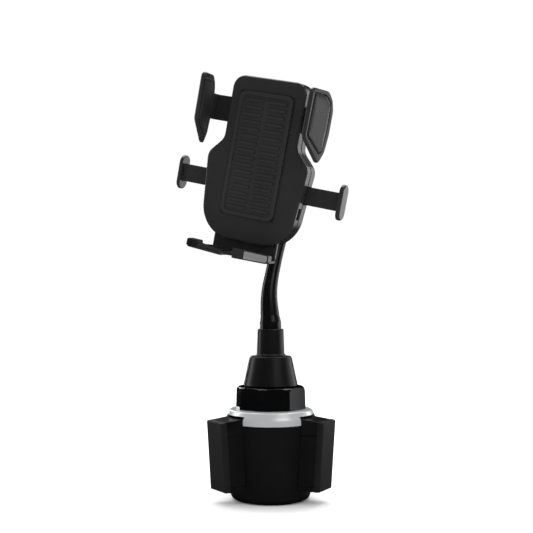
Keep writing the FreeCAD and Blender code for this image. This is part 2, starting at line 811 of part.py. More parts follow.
def make_face_pad():
    """Rubber pad on the cradle's face, with a column of grooves."""
    body = new_body("face_pad", CRADLE)
    edges = box_points("-face_half_width", "face_half_width", "face_low", "face_high")
    pad(body, on_plane(body, "-front_depth - face_seat", edges), "front_depth + face_seat")
    half = amount("face_half_width")
    corners = [(x, amount(y)) for x in (-half, half) for y in ("face_low", "face_high")]
    round_edges(body, "5", upright(*corners))
    across = "groove_half_width"
    groove = box_points(f"-{across}", across, "groove_low", "groove_low + groove_width")
    cut = pocket(body, on_plane(body, "-groove_depth", groove), "2")
    rows = body.newObject("PartDesign::LinearPattern", "face_pad_grooves")
    rows.Originals = [cut]
    y_axis = next(f for f in body.Origin.OriginFeatures if f.Role == "Y_Axis")
    rows.Direction = (y_axis, [""])
    rows.Length = 75
    rows.Occurrences = 16
    body.Tip = rows
    doc.recompute()
    piece(body, "face_pad")


def make_fixings():
    """Screws that hold the housing together, and the arms' return spring."""
    screws = []
    for x, y in SCREW_PLACES:
        place = Vector(float(x), float(y), 0)
        shank = Part.makeCylinder(amount("screw_radius") - 0.02, 14, place + Vector(0, 0, -18))
        head = Part.makeCylinder(2.8, 1.6, place + Vector(0, 0, -19.6))
        head = head.cut(Part.makeBox(3.4, 0.7, 0.8, place + Vector(-1.7, -0.35, -19.6)))
        screws.append(head.fuse(shank))
    shape_piece("shell_screws", Part.makeCompound(screws), CRADLE)

    turns, pitch, wire_radius = 2.5, 1.2, 0.45
    helix = Part.makeHelix(pitch, pitch * turns, 4.6)
    section = Part.Wire(Part.makeCircle(wire_radius, Vector(4.6, 0, 0), Vector(0, 1, 0)))
    spring = Part.Wire(helix).makePipeShell([section], True, True)
    spring.translate(Vector(0, 0, -17.4))
    shape_piece("return_spring", spring, CRADLE)


# ---------------------------------------------------------------- clamp mechanism
def pinion_points():
    """Involute teeth, thinned a little for backlash, as a closed list of corners."""
    teeth, module = int(amount("pinion_teeth")), amount("tooth_module")
    pitch_radius = teeth * module / 2
    base_radius = pitch_radius * math.cos(PRESSURE_ANGLE)
    root_radius, tip_radius = pitch_radius - 1.25 * module, pitch_radius + 0.75 * module
    backlash = 0.12 * module
    half_tooth = math.pi / (2 * teeth) - backlash / pitch_radius
    rolled = math.tan(PRESSURE_ANGLE) - PRESSURE_ANGLE
    flank = []
    for step in range(6):
        radius = base_radius + (tip_radius - base_radius) * step / 5
        roll_angle = math.acos(min(base_radius / radius, 1))
        flank.append((radius, half_tooth + rolled - (math.tan(roll_angle) - roll_angle)))
    flank.insert(0, (root_radius, flank[0][1]))
    points = []
    for tooth in range(teeth):
        centre = math.pi / 2 + (tooth + 0.5) * 2 * math.pi / teeth
        for radius, angle in flank:
            points.append(Vector(radius * math.cos(centre - angle), radius * math.sin(centre - angle), 0))
        for radius, angle in reversed(flank):
            points.append(Vector(radius * math.cos(centre + angle), radius * math.sin(centre + angle), 0))
    return points


def make_pinion():
    points = pinion_points()
    face = Part.Face(Part.makePolygon(points + points[:1]))
    gear = face.extrude(Vector(0, 0, 5.3))
    bore = Part.makeCylinder(amount("post_radius + running_gap"), 10, Vector(0, 0, -1))
    gear = gear.cut(bore)
    gear.translate(Vector(0, 0, -11.8))
    return shape_piece("pinion", gear, CRADLE)


def rack(first, last, low, height):
    """Rack rib above the pinion, teeth down, with a tooth centred on x = 0."""
    module = amount("tooth_module")
    pitch_line = amount("pinion_teeth") * module / 2
    spacing = math.pi * module
    half_at_pitch = spacing / 4 - 0.12 * module
    slope = math.tan(PRESSURE_ANGLE)
    tip, root = pitch_line - 0.75 * module, pitch_line + 1.2 * module
    tip_half = half_at_pitch - (pitch_line - tip) * slope
    root_half = half_at_pitch + (root - pitch_line) * slope
    points = [Vector(first * spacing - spacing / 2, root, 0)]
    for tooth in range(first, last + 1):
        centre = tooth * spacing
        for x, y in ((-root_half, root), (-tip_half, tip), (tip_half, tip), (root_half, root)):
            points.append(Vector(centre + x, y, 0))
    right_end = last * spacing + spacing / 2
    points.append(Vector(right_end, root, 0))
    points.append(Vector(right_end, root + 2.6, 0))
    points.append(Vector(points[0].x, root + 2.6, 0))
    bar = Part.Face(Part.makePolygon(points + points[:1])).extrude(Vector(0, 0, height))
    bar.translate(Vector(0, 0, low))
    return bar


# Corners up the arm and along its depth, from the arm's back edge.
ARM_OUTLINE = [
    (51.5, 28.6), (48.0, 31.0), (20.7, 31.0), (6.8, 12.6), (5.2, 10.2), (7.4, 7.2), (13.0, 4.9),
    (24.4, 2.6), (34.8, 2.3), (44.0, 3.2), (50.0, 6.0), (53.4, 11.0), (54.0, 20.0), (53.4, 26.0),
]
PANEL_OUTLINE = [
    (50.4, 27.6), (23.0, 28.0), (12.9, 11.2), (13.6, 9.4), (26.0, 6.8), (38.2, 6.6), (45.8, 7.3),
    (49.0, 10.4), (51.2, 21.0),
]
ARM_PAD_OUTLINE = [(50.0, 29.0), (22.0, 29.0), (12.4, 15.5), (12.0, 11.0), (46.5, 8.5), (50.5, 13.0)]

# Low and high corners of the blocks that make each arm's sliding plate.
RIGHT_PLATE = [
    ((-17.3, 24.0, -6.0), (46.4, 42.0, -4.5)),
    ((-17.3, 6.0, -6.0), (11.0, 24.0, -4.5)),
    ((-17.3, -23.0, -6.0), (-8.0, 6.0, -4.5)),
    ((-25.0, -23.0, -6.0), (-8.0, -11.0, -4.5)),
    ((-24.5, -22.5, -13.7), (-15.5, -13.0, -6.0)),
]
LEFT_PLATE = [
    ((-46.4, 24.0, -13.6), (17.3, 42.0, -12.1)),
    ((-13.0, -10.9, -13.6), (17.3, 24.0, -12.1)),
    ((15.0, -22.5, -13.6), (24.5, -10.9, -12.1)),
    ((-46.4, 24.0, -13.6), (-43.4, 42.0, -4.0)),
]
LEFT_PLATE_WINDOW = ((-10.8, -3.0, -14.0), (14.8, 3.0, -11.0))


def arm_place(side):
    """Frame of an arm: x out of its outer face, y up, z along the wall towards the phone."""
    lean = Rotation(Vector(0, 1, 0), -side * amount("arm_lean"))
    return Placement(Vector(side * amount("arm_back_reach"), 0, -amount("split_depth")), lean)


def arm_slab(side, corners, start, thickness):
    """A slab of an arm's outline between two depths below its outer face, in the cradle's frame."""
    points = [Vector(-side * start, y, z) for y, z in corners]
    slab = Part.Face(Part.makePolygon(points + points[:1])).extrude(Vector(-side * thickness, 0, 0))
    slab.Placement = arm_place(side)
    return slab


def box(low, high):
    return Part.makeBox(high[0] - low[0], high[1] - low[1], high[2] - low[2], Vector(*low))


def fused(blocks):
    solid = box(*blocks[0])
    for low, high in blocks[1:]:
        solid = solid.fuse(box(low, high))
    return solid


def make_plate(side):
    """Sliding plate with its rack; the two racks mesh with the pinion from opposite sides."""
    if side > 0:
        return fused(RIGHT_PLATE).fuse(rack(-5, 3, -12, 6))
    window = box(*LEFT_PLATE_WINDOW)
    teeth = rack(-5, 3, -12.1, 5.6)
    teeth.rotate(Vector(), Vector(0, 0, 1), 180)
    return fused(LEFT_PLATE[:2]).cut(window).fuse(fused(LEFT_PLATE[2:])).fuse(teeth)


def make_arm(side):
    """One arm moulded with its sliding plate, its glossy outer panel and its rubber lining."""
    word = "right" if side > 0 else "left"
    thickness = amount("arm_thickness")
    far = 90
    everywhere = [(-far, -far), (far, -far), (far, far), (-far, far)]
    above_wall = arm_slab(side, everywhere, amount("arm_root_depth"), -far)
    wall = arm_slab(side, ARM_OUTLINE, 0, thickness)
    wall = wall.cut(arm_slab(side, PANEL_OUTLINE, -0.1, amount("arm_recess") + 0.1))
    arm = wall.fuse(make_plate(side).cut(above_wall)).removeSplitter()
    shape_piece(word + "_arm", arm, CRADLE)
    panel = arm_slab(side, PANEL_OUTLINE, amount("arm_panel_back"), amount("arm_panel_thickness"))
    panel.scale(0.985, panel.CenterOfMass)
    shape_piece(word + "_arm_panel", panel, CRADLE)
    lining = arm_slab(side, ARM_PAD_OUTLINE, thickness, amount("arm_pad_thickness"))
    shape_piece(word + "_arm_pad", lining, CRADLE)


def slab_on(body, corners, back, front):
    """Pads a polygon from one depth to another."""
    return pad(body, outline(new_sketch(body, "XY_Plane", back), corners), f"({front}) - ({back})")


def make_lever(side):
    """T-shaped side lever: squeezing both heads inwards opens the arms."""
    body = new_body("right_lever" if side > 0 else "left_lever", CRADLE)
    sign = "" if side > 0 else "-"
    low, high = "lever_height - lever_half_tall", "lever_height + lever_half_tall"
    slab_on(body, box_points(f"{sign}26", f"{sign}(lever_reach - 1)", low, high), "-16", "-12")
    root = box_points(f"{sign}15.2", f"{sign}26.5", f"{low} + 1", f"{high} - 1.5")
    slab_on(body, root, "-16", "-13.7")
    inner, outer = f"{sign}(lever_reach - 1.5)", f"{sign}(lever_reach + 1.5)"
    head = box_points(inner, outer, "lever_height - head_half_tall", "lever_height + head_half_tall")
    slab_on(body, head, "head_back", "head_front")
    tall, middle = amount("head_half_tall"), amount("lever_height")
    inner_face, outer_face = amount("lever_reach - 1.5"), amount("lever_reach + 1.5")

    def head_corner(edge):
        box_here = edge.BoundBox
        across = box_here.YLength < 0.01 and box_here.ZLength < 0.01
        at_end = abs(abs(box_here.YMin - middle) - tall) < 0.1
        return across and at_end and abs(box_here.XMin) + 0.1 > inner_face

    def head_rim(edge):
        box_here = edge.BoundBox
        return box_here.XLength < 0.01 and abs(abs(box_here.XMin) - outer_face) < 0.05

    round_edges(body, "head_corner", head_corner)
    round_edges(body, "1.1", head_rim)
    return piece(body, body.Label)


def both_sides(body, inner, outer, low, high, back, front):
    """The same block on the right and on the left."""
    for sign in ("", "-"):
        slab_on(body, box_points(f"{sign}({inner})", f"{sign}({outer})", low, high), back, front)


def make_foot():
    """Sliding foot that the phone's lower edge stands on, with two toes and a cable notch."""
    body = new_body("foot_bracket", CRADLE)
    wide = "foot_half_width"
    tongue = box_points("-tongue_half_width", "tongue_half_width", "foot_shelf - 2", "tongue_top")
    slab_on(body, tongue, "tongue_back", "tongue_front")
    shelf = box_points(f"-{wide}", wide, "foot_shelf - shelf_thickness", "foot_shelf")
    slab_on(body, shelf, "tongue_back", "foot_reach")
    toe_back, lip_back = "foot_reach - toe_thickness", "foot_reach - lip_thickness"
    lip_top = "foot_shelf + lip_height"
    both_sides(body, "toe_inner", wide, "foot_shelf - 1", "foot_toe_top", toe_back, "foot_reach")
    both_sides(body, "lip_inner", "toe_inner + 0.2", "foot_shelf - 1", lip_top, lip_back, "foot_reach")
    shelf_low, half = amount("foot_shelf - shelf_thickness"), amount(wide)
    round_edges(body, "2.6", upright((half, shelf_low), (-half, shelf_low)))

    def lower_front(edge):
        box_here = edge.BoundBox
        return box_here.XLength > 30 and abs(box_here.YMin - shelf_low) < 0.05 and box_here.ZMin > 10

    round_edges(body, "1.6", lower_front)
    notch = box_points("-lip_inner", "lip_inner", "foot_shelf - 4", "foot_toe_top + 1")
    pocket(body, on_plane(body, "9", notch), "foot_reach")
    inner, outer = "toe_inner + grip_margin", f"{wide} - grip_margin"
    low, high = "foot_shelf - 2.2", "foot_toe_top - 0.6"
    for sign in ("", "-"):
        seat = box_points(f"{sign}({inner})", f"{sign}({outer})", low, high)
        pocket(body, on_plane(body, "foot_reach - 0.8", seat), "3")
    piece(body, "foot_bracket")
    for word, sign in (("right", ""), ("left", "-")):
        grip = new_body("foot_grip_" + word, CRADLE)
        from_x, to_x = f"{sign}({inner} + grip_gap)", f"{sign}({outer} - grip_gap)"
        pad_points = box_points(from_x, to_x, f"{low} + grip_gap", f"{high} - grip_gap")
        slab_on(grip, pad_points, "foot_reach - 0.8", "foot_reach + 0.3")
        piece(grip, grip.Label)


# ---------------------------------------------------------------- assembly
def check(thing):
    """Stops if a sub-part has failed, is empty or isn't a sound solid."""
    if "Invalid" in thing.State or "Error" in thing.State:
        raise RuntimeError(f"{thing.Label} failed: {thing.State}")
    if thing.Shape.isNull() or not thing.Shape.isValid() or not thing.Shape.Solids:
        raise RuntimeError(f"{thing.Label} has no sound solid")


def main():
    make_cup()
    make_trim_ring()
    for side in FIN_ANGLES:
        make_fin(side)
    make_scroll_disc()
    make_knob()
    make_base_internals()
    make_neck_foot()
    make_neck()
    make_ball_joint()
    make_back_shell()
    make_front_shell()
    make_face_pad()
    make_fixings()
    make_pinion()
    for side in (1, -1):
        make_arm(side)
        make_lever(side)
    make_foot()
    doc.recompute()
    for thing in doc.Objects:
        if "Invalid" in thing.State or "Error" in thing.State:
            raise RuntimeError(f"{thing.Label} failed: {thing.State}")
    os.makedirs("parts", exist_ok=True)
    for thing in pieces:
        check(thing)
        thing.Shape.exportStep(f"parts/{thing.Label}.step")


main()
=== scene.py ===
import json
import math

import bmesh
import bpy
import numpy as np
from mathutils import Matrix, Vector

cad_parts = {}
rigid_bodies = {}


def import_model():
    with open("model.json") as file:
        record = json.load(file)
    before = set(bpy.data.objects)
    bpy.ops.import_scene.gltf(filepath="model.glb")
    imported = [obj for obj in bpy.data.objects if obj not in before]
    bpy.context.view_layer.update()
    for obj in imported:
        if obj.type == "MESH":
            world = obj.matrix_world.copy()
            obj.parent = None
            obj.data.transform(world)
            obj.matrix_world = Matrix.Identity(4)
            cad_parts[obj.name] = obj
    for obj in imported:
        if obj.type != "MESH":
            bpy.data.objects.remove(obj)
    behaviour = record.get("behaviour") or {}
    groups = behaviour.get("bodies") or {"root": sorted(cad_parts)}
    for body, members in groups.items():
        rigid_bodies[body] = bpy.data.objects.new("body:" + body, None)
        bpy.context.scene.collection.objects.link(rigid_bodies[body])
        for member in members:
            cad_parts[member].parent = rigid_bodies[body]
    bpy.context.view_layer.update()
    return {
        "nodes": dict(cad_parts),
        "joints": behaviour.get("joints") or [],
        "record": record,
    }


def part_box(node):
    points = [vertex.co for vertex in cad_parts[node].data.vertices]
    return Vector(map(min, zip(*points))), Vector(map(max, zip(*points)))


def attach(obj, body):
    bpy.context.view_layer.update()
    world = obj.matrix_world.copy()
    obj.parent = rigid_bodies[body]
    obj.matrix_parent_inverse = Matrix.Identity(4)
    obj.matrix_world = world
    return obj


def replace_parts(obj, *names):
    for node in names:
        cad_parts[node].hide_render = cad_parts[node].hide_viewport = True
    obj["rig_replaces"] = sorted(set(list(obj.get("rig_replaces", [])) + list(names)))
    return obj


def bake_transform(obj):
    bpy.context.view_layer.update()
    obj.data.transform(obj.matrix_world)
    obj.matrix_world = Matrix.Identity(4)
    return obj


# Visual model of the cup-holder phone mount, in metres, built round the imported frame. Lengths that are
# written in millimetres are multiplied by MM, or by Build.scaled() when a piece is finished.
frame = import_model()
NODES = frame["nodes"]
JOINTS = {joint["name"]: joint for joint in frame["joints"]}
MM = 0.001
FULL_TURN = 2 * math.pi

# The cradle's own frame: x to its right, y up its face, z out of the face. It is read from the joints.
BALL = Vector(JOINTS["cradle_turn"]["pos_m"])
OUT = Vector(JOINTS["cradle_turn"]["axis"]).normalized()
RIGHT = Vector(JOINTS["arm_squeeze"]["axis"]).normalized()
UP = -Vector(JOINTS["foot_slide"]["axis"]).normalized()
BALL_DEPTH = 30 * MM
CRADLE = Matrix((RIGHT, UP, OUT)).transposed().to_4x4()
CRADLE.translation = BALL + OUT * BALL_DEPTH


# ---------------------------------------------------------------- materials
# Edges are lighter in colour: partly rubbed wear, partly a painted highlight along every edge.
EDGE_WEAR_AND_HIGHLIGHT_WIDTH = 0.35 * MM
EDGE_WEAR_AND_HIGHLIGHT_FROM = 0.86  # dot product of the two normals at which an edge is fully worn and its painted highlight is brightest
MOULDED_CLOUD, MOULDED_TINT, MOULDED_DEPTH = 45.0, 0.35, 0.05 * MM
CLOUD_ROUGHNESS, GRAIN_ROUGHNESS = 0.08, 0.03
TURNING_MARKS, MARK_SHADE, METAL_CLOUD, METAL_ROUGHNESS = 120.0, 0.86, 60.0, 0.01
METAL_RELIEF, METAL_DEPTH = 0.012, 0.03 * MM


def new_material(name):
    material = bpy.data.materials.new(name)
    material.use_nodes = True
    nodes, links = material.node_tree.nodes, material.node_tree.links
    return material, nodes, links, nodes["Principled BSDF"]


def noise(nodes, links, where, scale, detail=3.0, rough=0.55):
    texture = nodes.new("ShaderNodeTexNoise")
    texture.inputs["Scale"].default_value = scale
    texture.inputs["Detail"].default_value = detail
    texture.inputs["Roughness"].default_value = rough
    links.new(where, texture.inputs["Vector"])
    return texture.outputs["Fac"]


def spread(nodes, links, value, low, high):
    """Maps 0..1 to low..high."""
    mapping = nodes.new("ShaderNodeMapRange")
    mapping.inputs["To Min"].default_value = low
    mapping.inputs["To Max"].default_value = high
    links.new(value, mapping.inputs["Value"])
    return mapping.outputs["Result"]


def edge_wear_and_highlight_mask(nodes, links):
    """1 on corners, which get rubbed wear and a painted highlight, and 0 on flats: how far the bevelled
    normal turns from the true one.
    """
    bevel = nodes.new("ShaderNodeBevel")
    bevel.samples = 4
    bevel.inputs["Radius"].default_value = EDGE_WEAR_AND_HIGHLIGHT_WIDTH
    geometry = nodes.new("ShaderNodeNewGeometry")
    turn = nodes.new("ShaderNodeVectorMath")
    turn.operation = "DOT_PRODUCT"
    links.new(bevel.outputs["Normal"], turn.inputs[0])
    links.new(geometry.outputs["Normal"], turn.inputs[1])
    mapping = nodes.new("ShaderNodeMapRange")
    mapping.inputs["From Min"].default_value = 1.0
    mapping.inputs["From Max"].default_value = EDGE_WEAR_AND_HIGHLIGHT_FROM
    links.new(turn.outputs["Value"], mapping.inputs["Value"])
    return mapping.outputs["Result"]


def mix(nodes, links, blend, first, second, factor):
    """Mixes two colours; each input is a socket or a constant."""
    shade = nodes.new("ShaderNodeMix")
    shade.data_type = "RGBA"
    shade.blend_type = blend
    for name, value in (("A", first), ("B", second), ("Factor", factor)):
        if isinstance(value, bpy.types.NodeSocket):
            links.new(value, shade.inputs[name])
        else:
            shade.inputs[name].default_value = value
    return shade.outputs["Result"]


def combine(nodes, links, operation, first, second):
    """Adds or multiplies two values."""
    result = nodes.new("ShaderNodeMath")
    result.operation = operation
    links.new(first, result.inputs[0])
    links.new(second, result.inputs[1])
    return result.outputs["Value"]


def add_relief(nodes, links, shader, height, strength, depth):
    relief = nodes.new("ShaderNodeBump")
    relief.inputs["Strength"].default_value = strength
    relief.inputs["Distance"].default_value = depth
    links.new(height, relief.inputs["Height"])
    links.new(relief.outputs["Normal"], shader.inputs["Normal"])


def moulded(name, colour, wear_and_highlight_colour, rough, grain, bump, specular):
    """Moulded plastic or rubber: fine grain in the bump, cloudy roughness and lighter edges that are partly
    rubbed wear and partly a painted highlight.
    """
    material, nodes, links, shader = new_material(name)
    place = nodes.new("ShaderNodeTexCoord").outputs["Object"]
    cloud = noise(nodes, links, place, MOULDED_CLOUD, 4.0)
    fine = noise(nodes, links, place, grain, 2.0)
    # Lighter colour on the edges: partly rubbed wear, partly a painted highlight.
    edge_wear_and_highlight = combine(nodes, links, "MULTIPLY", edge_wear_and_highlight_mask(nodes, links), spread(nodes, links, cloud, 0.1, 0.9))
    shade = mix(nodes, links, "MIX", (*colour, 1), (*wear_and_highlight_colour, 1), edge_wear_and_highlight)
    links.new(mix(nodes, links, "MULTIPLY", shade, cloud, MOULDED_TINT), shader.inputs["Base Color"])
    clouded = spread(nodes, links, cloud, rough - CLOUD_ROUGHNESS, rough + CLOUD_ROUGHNESS)
    grained = spread(nodes, links, fine, -GRAIN_ROUGHNESS, GRAIN_ROUGHNESS)
    links.new(combine(nodes, links, "ADD", clouded, grained), shader.inputs["Roughness"])
    shader.inputs["Specular IOR Level"].default_value = specular
    add_relief(nodes, links, shader, fine, bump, MOULDED_DEPTH)
    return material


def brushed(name, colour, rough, stretch, metallic):
    """Metal with fine turning marks that run round the Z axis."""
    material, nodes, links, shader = new_material(name)
    place = nodes.new("ShaderNodeTexCoord").outputs["Object"]
    mapping = nodes.new("ShaderNodeMapping")
    mapping.inputs["Scale"].default_value = stretch
    links.new(place, mapping.inputs["Vector"])
    lines = noise(nodes, links, mapping.outputs["Vector"], TURNING_MARKS, 2.0, 0.5)
    cloud = noise(nodes, links, place, METAL_CLOUD)
    darker = tuple(channel * MARK_SHADE for channel in colour)
    links.new(mix(nodes, links, "MIX", (*darker, 1), (*colour, 1), lines), shader.inputs["Base Color"])
    shader.inputs["Metallic"].default_value = metallic
    clouded = spread(nodes, links, cloud, rough - METAL_ROUGHNESS, rough + METAL_ROUGHNESS)
    links.new(clouded, shader.inputs["Roughness"])
    add_relief(nodes, links, shader, lines, METAL_RELIEF, METAL_DEPTH)
    return material


def grey(level, blue=0.0):
    """A grey whose blue channel is a little higher."""
    return (level, level, level + blue)


# Base colour, edge colour (rubbed wear and painted highlight), roughness, grain scale, grain strength,
# specular level.
MOULDED = {
    "satin_black": (grey(0.0065, 0.001), grey(0.03, 0.003), 0.34, 5200.0, 0.22, 0.42),
    # The cradle's finishes are lighter copies of satin black and black rubber: painted light, standing in for
    # the stronger light on the cradle.
    "cradle_black_painted_light": (grey(0.026, 0.001), grey(0.06, 0.004), 0.24, 5200.0, 0.12, 0.6),
    "lining_rubber_painted_light": (grey(0.027, 0.001), grey(0.03, 0.002), 0.60, 3600.0, 0.36, 0.3),
    "gloss_black": (grey(0.003, 0.0005), grey(0.03, 0.003), 0.15, 900.0, 0.03, 0.45),
    # Lighter copy of gloss black for the arms' inlays: painted light, standing in for the stronger light on
    # the cradle.
    "panel_black_painted_light": (grey(0.022, 0.001), grey(0.06, 0.004), 0.26, 2400.0, 0.08, 0.55),
    "rubber_black": (grey(0.011, 0.001), grey(0.03, 0.002), 0.55, 3600.0, 0.36, 0.32),
    "sleeve_rubber": (grey(0.0045, 0.0005), grey(0.02), 0.22, 1800.0, 0.06, 0.5),
    "pad_grey": (grey(0.25, 0.005), grey(0.32, 0.01), 0.60, 3000.0, 0.40, 0.5),
    "gear_white": ((0.62, 0.61, 0.57), (0.72, 0.71, 0.67), 0.42, 2600.0, 0.20, 0.5),
}
# Colour, roughness, stretch of the turning marks along each axis, metallic share.
BRUSHED = {
    "silver": ((0.90, 0.91, 0.92), 0.28, (1.0, 1.0, 26.0), 0.58),
    "steel": ((0.55, 0.55, 0.57), 0.32, (1.0, 1.0, 18.0), 1.0),
}
MATERIALS = {name: moulded(name, *values) for name, values in MOULDED.items()}
MATERIALS.update({name: brushed(name, *values) for name, values in BRUSHED.items()})
SLOT_OF = {entry["node"]: entry["material_slot"] for entry in frame["record"]["subparts"]}


def dress(thing, finish):
    thing.data.materials.clear()
    thing.data.materials.append(MATERIALS[finish])


# ---------------------------------------------------------------- mesh helpers
BEVEL_ANGLE, FLAT_ANGLE = math.radians(32.0), math.radians(0.6)
WELD_DISTANCE = 0.004 * MM


def add_bevel(thing, width, segments=3):
    bevel = thing.modifiers.new("soft_edges", "BEVEL")
    bevel.width = width
    bevel.segments = segments
    bevel.limit_method = "ANGLE"
    bevel.angle_limit = BEVEL_ANGLE
    bevel.use_clamp_overlap = True
    bevel.harden_normals = False


def even_normals(thing):
    weighted = thing.modifiers.new("even_normals", "WEIGHTED_NORMAL")
    weighted.keep_sharp = True
    weighted.weight = 80


def finish_cad(name, width):
    """A CAD node keeps its mesh: it is welded, gets small rounded edges and a procedural finish."""
    node = NODES[name]
    for polygon in node.data.polygons:
        polygon.use_smooth = True
    weld = node.modifiers.new("weld", "WELD")
    weld.merge_threshold = WELD_DISTANCE
    flat = node.modifiers.new("flat_faces", "DECIMATE")
    flat.decimate_type = "DISSOLVE"
    flat.angle_limit = FLAT_ANGLE
    if width:
        add_bevel(node, width)
    even_normals(node)
    dress(node, CAD_FINISH.get(name, SLOT_OF[name]))


def new_object(name, vertices, faces, matrix=None):
    """Smooth-shaded mesh object; the matrix, where given, places its mesh."""
    mesh = bpy.data.meshes.new(name)
    mesh.from_pydata([tuple(v) for v in vertices], [], faces)
    work = bmesh.new()
    work.from_mesh(mesh)
    bmesh.ops.recalc_face_normals(work, faces=work.faces)
    work.to_mesh(mesh)
    work.free()
    for polygon in mesh.polygons:
        polygon.use_smooth = True
    thing = bpy.data.objects.new(name, mesh)
    bpy.context.scene.collection.objects.link(thing)
    if matrix is not None:
        mesh.transform(matrix)
    return thing


def soft_piece(name, work, slot, body, replaced, edge, matrix=None, segments=3, finish=None):
    """A built piece: edges rounded over `edge` mm, a finish, its body and the CAD node that it stands for."""
    thing = new_object(name, work.scaled(), work.faces, matrix)
    add_bevel(thing, edge * MM, segments)
    even_normals(thing)
    dress(thing, finish or slot)
    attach(thing, body)
    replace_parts(thing, replaced)


def rounded(corners, steps=6):
    """Outline through (x, y, radius) corners, each turned into an arc of the same number of points."""
    points = []
    count = len(corners)
    for index, (x, y, radius) in enumerate(corners):
        here = Vector((x, y))
        before = (Vector(corners[index - 1][:2]) - here).normalized()
        after = (Vector(corners[(index + 1) % count][:2]) - here).normalized()
        half = before.angle(after) / 2
        centre = here + (before + after).normalized() * (radius / math.sin(half))
        first = here + before * (radius / math.tan(half)) - centre
        last = here + after * (radius / math.tan(half)) - centre
        sweep = first.angle_signed(last)
        for step in range(steps + 1):
            angle = -sweep * step / steps
            turned = Vector((
                first.x * math.cos(angle) - first.y * math.sin(angle),
                first.x * math.sin(angle) + first.y * math.cos(angle),
            ))
            points.append(centre + turned)
    return points


class Build:
    """Collects the vertices and faces of one piece."""

    def __init__(self):
        self.vertices = []
        self.faces = []

    def ring(self, points):
        start = len(self.vertices)
        self.vertices.extend(Vector(p) for p in points)
        return list(range(start, start + len(points)))

    def bridge(self, lower, upper):
        count = len(lower)
        for i in range(count):
            j = (i + 1) % count
            self.faces.append((lower[i], lower[j], upper[j], upper[i]))

    def cap(self, ring):
        self.faces.append(tuple(ring))

    def loft(self, rings):
        """Closed solid through rings of equal length."""
        indices = [self.ring(points) for points in rings]
        for lower, upper in zip(indices, indices[1:]):
            self.bridge(lower, upper)
        self.cap(indices[0])
        self.cap(indices[-1])

    def slab(self, outline, low, high):
        """Closed prism of an outline between two heights."""
        self.loft([flat_ring(outline, low), flat_ring(outline, high)])

    def box(self, low, high):
        corners = [(low[0], low[1]), (high[0], low[1]), (high[0], high[1]), (low[0], high[1])]
        self.slab(corners, low[2], high[2])

    def scaled(self):
        """The vertices, collected in millimetres, in metres."""
        return [v * MM for v in self.vertices]


def flat_ring(outline, height):
    return [Vector((point[0], point[1], height)) for point in outline]


def circle(radius, count, middle=(0.0, 0.0)):
    """Outline of a circle, as (x, y) points."""
    turns = [FULL_TURN * step / count for step in range(count)]
    return [(middle[0] + radius * math.cos(turn), middle[1] + radius * math.sin(turn)) for turn in turns]


# ---------------------------------------------------------------- neck
def spline(points, first_slope, last_slope, samples):
    """Clamped cubic through points, sampled evenly by chord length."""
    points = np.array([list(p) for p in points])
    gaps = np.linalg.norm(np.diff(points, axis=0), axis=1)
    knots = np.concatenate([[0], np.cumsum(gaps)])
    count = len(points)
    system = np.zeros((count, count))
    right = np.zeros((count, 3))
    system[0, 0] = system[-1, -1] = 1
    right[0], right[-1] = first_slope, last_slope
    for i in range(1, count - 1):
        before, after = gaps[i - 1], gaps[i]
        system[i, i - 1], system[i, i], system[i, i + 1] = after, 2 * (before + after), before
        right[i] = 3 * (
            before * (points[i + 1] - points[i]) / after + after * (points[i] - points[i - 1]) / before
        )
    slopes = np.linalg.solve(system, right)
    line = []
    for at in np.linspace(0, knots[-1], samples):
        i = min(int(np.searchsorted(knots, at, side="right")) - 1, count - 2)
        gap = gaps[i]
        share = (at - knots[i]) / gap
        h00 = 2 * share**3 - 3 * share**2 + 1
        h10 = share**3 - 2 * share**2 + share
        h01 = 3 * share**2 - 2 * share**3
        h11 = share**3 - share**2
        line.append(h00 * points[i] + h10 * gap * slopes[i] + h01 * points[i + 1] + h11 * gap * slopes[i + 1])
    return [Vector(p) for p in line]


COLLAR_TOP = Vector((0, 0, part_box("neck_collar")[1].z))
STATIONS = [Vector(JOINTS[f"neck_bend_{i}"]["pos_m"]) for i in (1, 2, 3, 4)]
ARCH_CROWN = Vector((19.5, 20.5, 230.0)) * MM
NECK_END = BALL - OUT * BALL_DEPTH
SAMPLES = 420
NECK_LINE = spline([COLLAR_TOP, *STATIONS, ARCH_CROWN, NECK_END], Vector((0, 0, 1)), OUT, SAMPLES)

# The sleeve: its boot's radius at the collar, the step down above the boot, and its even radius.
BOOT_RADIUS, LIP_DROP, PLAIN_RADIUS = 7.85 * MM, 0.5 * MM, 5.25 * MM
LIP_END, TAPER_LENGTH, TAPER_POWER = 5.0 * MM, 37.0 * MM, 1.3
SLEEVE_SIDES, SLEEVE_STEP, SLEEVE_END_GAP = 48, 0.5 * MM, 1.0 * MM


def neck_lengths():
    lengths = [0.0]
    for here, there in zip(NECK_LINE, NECK_LINE[1:]):
        lengths.append(lengths[-1] + (there - here).length)
    return lengths


NECK_RUN = neck_lengths()


def nearest_run(point):
    best = min(range(SAMPLES), key=lambda i: (NECK_LINE[i] - point).length)
    return NECK_RUN[best]


def at_run(run):
    """Point and direction at a distance along the neck."""
    index = min(max(int(np.searchsorted(NECK_RUN, run)), 1), SAMPLES - 1)
    before, after = NECK_LINE[index - 1], NECK_LINE[index]
    share = (run - NECK_RUN[index - 1]) / (NECK_RUN[index] - NECK_RUN[index - 1])
    return before.lerp(after, min(max(share, 0), 1)), (after - before).normalized()


def sleeve_radius(run):
    """Short straight boot with a lip at the collar, a long taper, then an even thickness."""
    along = min(max((run - LIP_END) / TAPER_LENGTH, 0), 1)
    thick = BOOT_RADIUS - LIP_DROP * min(8 * along, 1)
    return PLAIN_RADIUS + (thick - PLAIN_RADIUS) * (1 - along) ** TAPER_POWER


